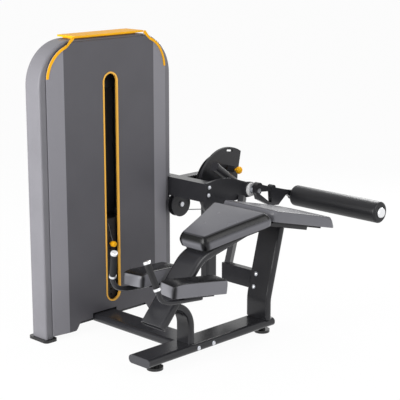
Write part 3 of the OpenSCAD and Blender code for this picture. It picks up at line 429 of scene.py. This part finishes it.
def upholstery_vinyl(name, hex_top, hex_side, hex_band):
    """Calendered PVC on a knitted back: a soft sheen with a pebble grain. The point attributes mix from the
    top panel's colour to the sides', to a black edge band whose fade down the side is a painted dark
    reflection on the bolster's roll, and to a dark seam colour that darkens sewn lines and paints shade on
    rounded head corners."""
    pebble_mm = 2.4
    cloud_mm = 90
    # Dark seam colour, also used for the painted shade on the rounded head corners.
    hex_seam = "#101012"
    made, tree = new_material(name)
    place = add(tree, "ShaderNodeTexCoord").outputs["Object"]
    pebble = add(tree, "ShaderNodeTexVoronoi", {"feature": "SMOOTH_F1"},
                 {"Vector": place, "Scale": 1 / (pebble_mm * mm), "Smoothness": 0.6})
    cloud = noise(tree, place, cloud_mm, 3.0)
    tint = to_linear(hex_top)
    for mark, hex_mark in (("side", hex_side), ("band", hex_band), ("seam", hex_seam)):
        share = add(tree, "ShaderNodeAttribute", {"attribute_name": mark}).outputs["Fac"]
        tint = mix(tree, share, tint, to_linear(hex_mark))
    faded = add(tree, "ShaderNodeVectorMath", {"operation": "SCALE"},
                {0: tint, "Scale": between(tree, cloud, 0.92, 1.08)})
    surface(tree, {"Base Color": faded.outputs[0], "Roughness": between(tree, cloud, 0.22, 0.3),
                   "IOR": 1.5, "Specular IOR Level": 0.2}, pebble.outputs[0], strength=0.22, depth_mm=0.4)
    return made


def turned(slope, splay=0.0):
    """Matrix that tips a pad about Y by its slope and then swings it about Z by its splay."""
    a, b = math.radians(slope), math.radians(splay)
    tip = np.array([[math.cos(a), 0, math.sin(a)], [0, 1, 0], [-math.sin(a), 0, math.cos(a)]])
    swing = np.array([[math.cos(b), -math.sin(b), 0], [math.sin(b), math.cos(b), 0], [0, 0, 1]])
    return swing @ tip


def pad_shell(size, half, corner, bulge, crown, shoulder,
              edge_band=0.0, head_roll=0.0, foot_nose=0.0, sewn=False):
    """Closed pad in mm with its top at z = 0. The plan is a grid of u and v from -1 to 1, u along the pad
    and v across it, with half widths mixed from head to foot less a half sine of waist; each is drawn in by
    corner times the other to the eighth power, which rounds the corners. The top rises by crown times
    (1-u2)(1-v2) and dips by head_roll times the square of the way into the head end. The side drops from
    the plan's rim to the bottom and stands out by bulge times a quarter sine, less a cube of undercut;
    shoulder is the share of it that rolls over from the top, with mitred corners, and foot_nose carries the
    foot end's lower edge further out. A given share of the side's top is dark: a black edge band whose fade
    is a painted dark reflection on the bolster's roll. With sewn corners, the head corners get a held seam
    and a band of painted shade on their rounding. Returns points, faces, and the marks of each point."""
    waist = 5
    tuck = 0.9
    undercut = 0.35
    head_from = 0.6
    foot_from = 0.9
    rim_seam = 0.8
    least_rows = 6
    corner_power = 8
    drop_power = 1.15
    band_fade = 3
    seam_reach = 1.5
    start, end, thick = size
    nu = int((end - start) / pad_cell) + 1
    nv = int((half[0] + half[1]) / pad_cell) + 1
    rows = max(least_rows, int(thick / side_cell))
    u, v = np.meshgrid(np.linspace(-1, 1, nu), np.linspace(-1, 1, nv), indexing="ij")
    along = u * (1 - corner * np.abs(v) ** corner_power)
    across = v * (1 - corner * np.abs(u) ** corner_power)
    x = start + (along + 1) / 2 * (end - start)
    width = half[0] + (along + 1) / 2 * (half[1] - half[0]) - waist * np.sin(np.pi * (along + 1) / 2)
    inset = bulge * tuck
    flat_x = (start + end) / 2 + (x - (start + end) / 2) * (1 - 2 * inset / (end - start))
    flat_y = across * (width - inset)
    into_head = np.clip((-u - head_from) / (1 - head_from), 0, 1)
    rise = crown * (1 - u ** 2) * (1 - v ** 2) - head_roll * into_head ** 2
    top = np.stack([flat_x, flat_y, rise], -1)
    grid = np.arange(nu * nv).reshape(nu, nv)
    rim = np.concatenate([grid[:-1, 0], grid[-1, :-1], grid[:0:-1, -1], grid[0, :0:-1]])
    rim_points = top.reshape(-1, 3)[rim]
    edge_u, edge_v = u.ravel()[rim], v.ravel()[rim]
    step = np.roll(rim_points, -1, 0) - rim_points
    after = np.stack([step[:, 1], -step[:, 0], 0 * step[:, 0]], -1)
    after /= np.linalg.norm(after, axis=1, keepdims=True)
    before = np.roll(after, 1, 0)
    out = (before + after) / (1 + (before * after).sum(1, keepdims=True))
    drop = (np.arange(1, rows + 1) / rows)[:, None]
    reach = bulge * np.sin(np.pi * np.minimum(drop / shoulder, 1) / 2) - bulge * undercut * drop ** 3
    side = rim_points[None] + out[None] * reach[..., None]
    side[..., 0] += foot_nose * drop * np.clip((edge_u - foot_from) / (1 - foot_from), 0, 1)
    side[..., 2] = rim_points[:, 2] * (1 - drop) - thick * drop ** drop_power
    ring = nu * nv + np.arange(rows * len(rim)).reshape(rows, len(rim))
    shells = np.vstack([rim[None], ring])
    under = np.full((nu, nv), -1)
    under.ravel()[rim] = ring[-1]
    inner = under < 0
    under[inner] = nu * nv + rows * len(rim) + np.arange(inner.sum())
    low_x = flat_x + foot_nose * np.clip((u - foot_from) / (1 - foot_from), 0, 1)
    low = np.stack([low_x, flat_y, np.full_like(flat_x, -thick)], -1)[inner]
    points = np.vstack([top.reshape(-1, 3), side.reshape(-1, 3), low])
    k = np.roll(np.arange(len(rim)), -1)
    wall = np.stack([shells[:-1], shells[1:], shells[1:][:, k], shells[:-1][:, k]], -1).reshape(-1, 4)
    lid = np.stack([grid[:-1, :-1], grid[1:, :-1], grid[1:, 1:], grid[:-1, 1:]], -1).reshape(-1, 4)
    base = np.stack([under[:-1, :-1], under[:-1, 1:], under[1:, 1:], under[1:, :-1]], -1).reshape(-1, 4)
    is_side = np.zeros(len(points))
    is_side[ring.ravel()] = 1
    is_side[under[inner]] = 1
    band = np.zeros(len(points))
    # Black at the top of the side, then a painted dark reflection that fades down the bolster's roll.
    band[ring] = np.clip(band_fade - band_fade * drop / max(edge_band, 1e-3), 0, 1)
    seam = np.zeros(len(points))
    seam[rim] = rim_seam
    if sewn:
        # Painted shade round each rounded head corner, fading out away from it; its darkest core is also held
        # as a seam.
        from_corner = np.hypot((edge_u + 1) * (end - start) / 2, (1 - np.abs(edge_v)) * half[0])
        seam[ring] = np.clip(seam_reach - from_corner / seam_half, 0, 1)
    held = np.zeros(len(points))
    held[rim] = 1
    held[ring[-1]] = 1
    held[under[inner]] = 1
    held = np.maximum(held, seam >= 1)
    return points, np.vstack([lid, wall, base]), is_side, band, seam, held


def swell(piece, held, limit):
    """Blows the cover up over its foam with Cloth under a little pressure, seams held, no gravity; each
    point then goes where the cloth took it, but at most limit from where it was."""
    last_frame = 20
    count = len(piece.data.vertices)
    start = np.zeros(count * 3, np.float32)
    piece.data.vertices.foreach_get("co", start)
    start = start.reshape(-1, 3)
    pins = piece.vertex_groups.new(name="sewn")
    pins.add(np.flatnonzero(held > 0.5).tolist(), 1.0, "REPLACE")
    cloth = piece.modifiers.new("cover", "CLOTH")
    cloth.settings.vertex_group_mass = "sewn"
    cloth.settings.quality = 6
    cloth.settings.mass = 0.4
    cloth.settings.tension_stiffness = 30
    cloth.settings.compression_stiffness = 30
    cloth.settings.bending_stiffness = 3
    cloth.settings.use_pressure = True
    cloth.settings.uniform_pressure_force = 4
    cloth.settings.effector_weights.gravity = 0
    cloth.collision_settings.use_collision = False
    cloth.point_cache.frame_start = 1
    cloth.point_cache.frame_end = last_frame
    for number in range(1, last_frame + 1):
        bpy.context.scene.frame_set(number)
    blown = piece.evaluated_get(bpy.context.evaluated_depsgraph_get())
    end = np.zeros(count * 3, np.float32)
    blown.data.vertices.foreach_get("co", end)
    piece.modifiers.remove(cloth)
    piece.vertex_groups.clear()
    bpy.context.scene.frame_set(1)
    move = end.reshape(-1, 3) - start
    far = np.linalg.norm(move, axis=1, keepdims=True)
    move *= np.minimum(1, limit / np.maximum(far, 1e-9))
    piece.data.vertices.foreach_set("co", (start + move).ravel())
    piece.data.update()


def upholster(name, node, shell, origin, tip, vinyl):
    points, faces, side, band, seam, held = shell
    placed = points * mm @ tip.T + np.array(origin)
    piece = new_piece(name, placed, faces)
    swell(piece, held, swell_limit * mm)
    for key, values in (("side", side), ("band", band), ("seam", seam)):
        attribute = piece.data.attributes.new(key, "FLOAT", "POINT")
        attribute.data.foreach_set("value", values.astype(np.float32))
    smooth = piece.modifiers.new("smooth", "SUBSURF")
    smooth.levels = smooth.render_levels = 1
    piece.data.materials.append(vinyl)
    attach(piece, "root")
    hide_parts(node)


# The bench vinyl's near-black band colour is partly the edge band's own black and partly a painted dark
# reflection on the bolster.
bench_vinyl = upholstery_vinyl("grey_bench_vinyl", "#626267", "#6c6c71", "#070708")
elbow_vinyl = upholstery_vinyl("two_tone_elbow_vinyl", "#161618", "#747479", "#141416")
upholster("chest_cushion", "chest_pad",
          pad_shell(chest_size, chest_half, corner=0.015, bulge=25, crown=5, shoulder=0.7,
                    edge_band=0.58, sewn=True),
          from_tower(*chest_head), turned(chest_slope), bench_vinyl)
upholster("thigh_cushion", "thigh_pad",
          pad_shell(thigh_size, thigh_half, corner=0.03, bulge=6, crown=3, shoulder=0.5, foot_nose=44),
          from_tower(*thigh_hip), turned(thigh_slope), bench_vinyl)
for name, hand in (("near_elbow", 1), ("far_elbow", -1)):
    upholster(name + "_cushion", name + "_pad",
              pad_shell(elbow_size, elbow_half, corner=0.02, bulge=4, crown=3, shoulder=0.45,
                        head_roll=10, sewn=True),
              from_tower(elbow_from_bench[0], bench_y - hand * elbow_from_bench[1], elbow_from_bench[2]),
              turned(elbow_tilt, -hand * elbow_splay), elbow_vinyl)

# Handles. Bent steel bars pass under the elbow pads and rise to the hands, with pushed-on rubber
# grips held between turned aluminium collars, of the same metal as the roller's end cap.
bar_radius = 12
bar_gap = 1
bar_steps = 10
bar_sides = 32
bracket_thick = 6
elbow_under = (elbow_size[2] + bracket_thick) / math.cos(math.radians(elbow_tilt)) + bar_radius + bar_gap
grip_low = np.array([-424, 150, 452])
grip_high = np.array([-447, 111, 573])
grip_way = (grip_high - grip_low) / np.linalg.norm(grip_high - grip_low)
grip_lead = 22


def bar_height(x):
    """Height of the bar's middle under the elbow pad at x: it follows the pad's tilt below its bracket."""
    return elbow_from_bench[2] - (x - elbow_from_bench[0]) * math.tan(math.radians(elbow_tilt)) - elbow_under


bar_route = [
    (-150, 158, bar_height(-150)), (-250, 157, bar_height(-250)), (-345, 157, bar_height(-345)),
    (-390, 157, 388), (-411, 157, 409), grip_low - grip_lead * grip_way,
    grip_low, (grip_low + grip_high) / 2, grip_high
]
for name, hand in (("near_handle_bar", 1), ("far_handle_bar", -1)):
    path = [from_tower(x, bench_y - hand * y, z) for x, y, z in smooth_route(bar_route, bar_steps)]
    bar = tube_along(name, path, bar_radius * mm, bar_sides)
    bar.data.materials.append(charcoal)
    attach(bar, "root")
    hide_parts("handle_bars")
dress(black_rubber, "handle_grips")
dress(plated_steel("satin_turned_aluminium", "#f2f3f5", 0.35, 2), "grip_collars", "roller_cap")

# Ankle roller. A thick sleeve of closed-cell foam with a moulded black skin turns on the axle, with
# rounded shoulders at both ends.
roller_low, roller_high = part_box("roller_pad")
roller_mid = (roller_low + roller_high) / 2
roller_radius = (roller_high.z - roller_low.z) / 2
roller_bore = 0.0141
roller_shoulder = 0.012


def roller_skin(turns, arc_knots, sleeve_knots):
    """Surface of revolution about Y: the profile runs out along the far end, round a quarter-circle
    shoulder, along the sleeve, round the near shoulder and back in to the bore, and then down it."""
    arc = np.linspace(-np.pi / 2, 0, arc_knots)
    core = roller_radius - roller_shoulder
    end_ring = core * 0.7
    far, near = roller_high.y, roller_low.y
    middle = np.linspace(far - roller_shoulder, near + roller_shoulder, sleeve_knots)[1:-1]
    radius = np.r_[roller_bore, end_ring, core + roller_shoulder * np.cos(arc),
                   np.full(len(middle), roller_radius),
                   core + roller_shoulder * np.cos(arc[::-1]), end_ring, roller_bore]
    place = np.r_[far, far, far - roller_shoulder * (1 + np.sin(arc)), middle,
                  near + roller_shoulder * (1 + np.sin(arc[::-1])), near, near]
    angle = np.linspace(0, 2 * np.pi, turns, endpoint=False)
    points = np.stack(np.broadcast_arrays(
        roller_mid.x + radius[:, None] * np.cos(angle), place[:, None],
        roller_mid.z + radius[:, None] * np.sin(angle)), -1)
    first = np.arange(turns)
    last = (len(radius) - 1) * turns + first
    bore = np.stack([last, np.roll(last, -1), np.roll(first, -1), first], -1)
    return points.reshape(-1, 3), np.vstack([grid_faces(len(radius), turns), bore])


roller = new_piece("ankle_roller", *roller_skin(turns=96, arc_knots=8, sleeve_knots=40))
roller.data.materials.append(moulded_plastic("skinned_black_foam", "#17171a", 0.4, 1.8))
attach(roller, "roller")
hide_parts("roller_pad")
